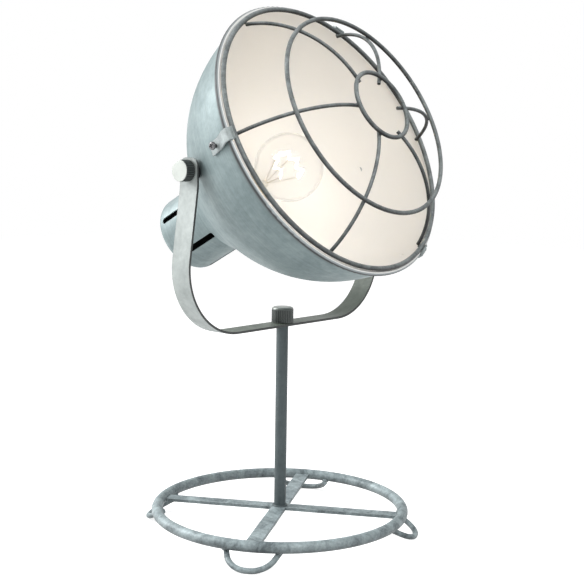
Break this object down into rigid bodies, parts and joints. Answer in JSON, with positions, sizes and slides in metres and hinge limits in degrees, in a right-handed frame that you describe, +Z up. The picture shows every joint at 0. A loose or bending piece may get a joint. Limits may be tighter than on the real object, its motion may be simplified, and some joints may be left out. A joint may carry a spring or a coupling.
{
  "type": "tabletop searchlight lamp",
  "caption": "Tabletop searchlight lamp: a spun metal bowl shade with a wire guard tilts in a strap yoke that swivels on a pole over a ring base with loop feet.",
  "frame": {"origin": "on the table, under the pole's axis", "axes": "+Z up along the pole; X along the tilt axis at rest; the shade looks towards -Y, tilted up 27.6 degrees"},
  "size_m": [0.2516, 0.2687, 0.4583],
  "materials": {
    "base_ring": "mottled zinc-grey lacquer on steel",
    "cross_bar_long": "mottled zinc-grey lacquer on steel",
    "cross_bar_half_front": "mottled zinc-grey lacquer on steel",
    "cross_bar_half_back": "mottled zinc-grey lacquer on steel",
    "foot_loop_1": "mottled zinc-grey lacquer on steel",
    "foot_loop_2": "mottled zinc-grey lacquer on steel",
    "foot_loop_3": "mottled zinc-grey lacquer on steel",
    "foot_loop_4": "mottled zinc-grey lacquer on steel",
    "pole_tube": "satin grey on steel tube",
    "pole_plug": "zinc plated",
    "swivel_stud": "zinc plated",
    "yoke_strap": "satin zinc-grey lacquer on steel strap",
    "shade_bowl": "brushed zinc-grey outside, white enamel inside",
    "rear_can": "brushed zinc-grey",
    "can_rivets": "plain",
    "guard_outer_ring": "satin zinc-grey wire",
    "guard_middle_ring": "satin zinc-grey wire",
    "guard_centre_ring": "satin zinc-grey wire",
    "guard_spokes": "satin zinc-grey wire",
    "guard_tabs": "satin zinc-grey wire",
    "guard_screws": "black oxide",
    "pivot_stud_left": "zinc plated",
    "pivot_stud_right": "zinc plated",
    "pivot_spacer_left": "black oxide",
    "pivot_spacer_right": "black oxide",
    "holder_shell": "black",
    "holder_cap": "black",
    "holder_core": "glazed white",
    "screw_shell": "plain",
    "centre_contact": "plain",
    "holder_ring": "black",
    "bulb_glass": "clear",
    "bulb_cap": "plain",
    "bulb_insulator": "black",
    "bulb_contact": "plain",
    "bulb_stem": "clear",
    "bulb_lead_wires": "bare nickel wire",
    "bulb_filament": "glowing tungsten",
    "cord_gland": "black",
    "gland_nut": "black",
    "top_nut": "satin nickel, fluted",
    "side_knob_left": "satin nickel, fluted",
    "side_knob_right": "satin nickel, fluted"
  },
  "bodies": {
    "base": {"base_ring": "base_ring", "cross_bar_long": "cross_bar_long", "cross_bar_half_front": "cross_bar_half_front", "cross_bar_half_back": "cross_bar_half_back", "foot_loop_1": "foot_loop_1", "foot_loop_2": "foot_loop_2", "foot_loop_3": "foot_loop_3", "foot_loop_4": "foot_loop_4", "pole_tube": "pole_tube", "pole_plug": "pole_plug", "swivel_stud": "swivel_stud"},
    "yoke": {"yoke_strap": "yoke_strap"},
    "shade": {"shade_bowl": "shade_bowl", "rear_can": "rear_can", "can_rivets": "can_rivets", "guard_outer_ring": "guard_outer_ring", "guard_middle_ring": "guard_middle_ring", "guard_centre_ring": "guard_centre_ring", "guard_spokes": "guard_spokes", "guard_tabs": "guard_tabs", "guard_screws": "guard_screws", "pivot_stud_left": "pivot_stud_left", "pivot_stud_right": "pivot_stud_right", "pivot_spacer_left": "pivot_spacer_left", "pivot_spacer_right": "pivot_spacer_right", "holder_shell": "holder_shell", "holder_cap": "holder_cap", "holder_core": "holder_core", "screw_shell": "screw_shell", "centre_contact": "centre_contact", "holder_ring": "holder_ring", "bulb_glass": "bulb_glass", "bulb_cap": "bulb_cap", "bulb_insulator": "bulb_insulator", "bulb_contact": "bulb_contact", "bulb_stem": "bulb_stem", "bulb_lead_wires": "bulb_lead_wires", "bulb_filament": "bulb_filament", "cord_gland": "cord_gland", "gland_nut": "gland_nut"},
    "top_nut": {"top_nut": "top_nut"},
    "side_knob_left": {"side_knob_left": "side_knob_left"},
    "side_knob_right": {"side_knob_right": "side_knob_right"}
  },
  "joints": [
    {"name": "yoke_swivel", "type": "hinge", "parent": "base", "child": "yoke", "pos_m": [0, 0, 0.1835], "axis": [0, 0, 1], "range_deg": [-175, 175]},
    {"name": "shade_tilt", "type": "hinge", "parent": "yoke", "child": "shade", "pos_m": [0, 0, 0.3195], "axis": [-1, 0, 0], "range_deg": [-36, 34]},
    {"name": "top_nut_turn", "type": "hinge", "parent": "base", "child": "top_nut", "pos_m": [0, 0, 0.19], "axis": [0, 0, 1], "range_deg": [0, 360]},
    {"name": "left_knob_turn", "type": "hinge", "parent": "shade", "child": "side_knob_left", "pos_m": [-0.12, 0, 0.3195], "axis": [-1, 0, 0], "range_deg": [0, 360]},
    {"name": "right_knob_turn", "type": "hinge", "parent": "shade", "child": "side_knob_right", "pos_m": [0.12, 0, 0.3195], "axis": [1, 0, 0], "range_deg": [0, 360]}
  ]
}
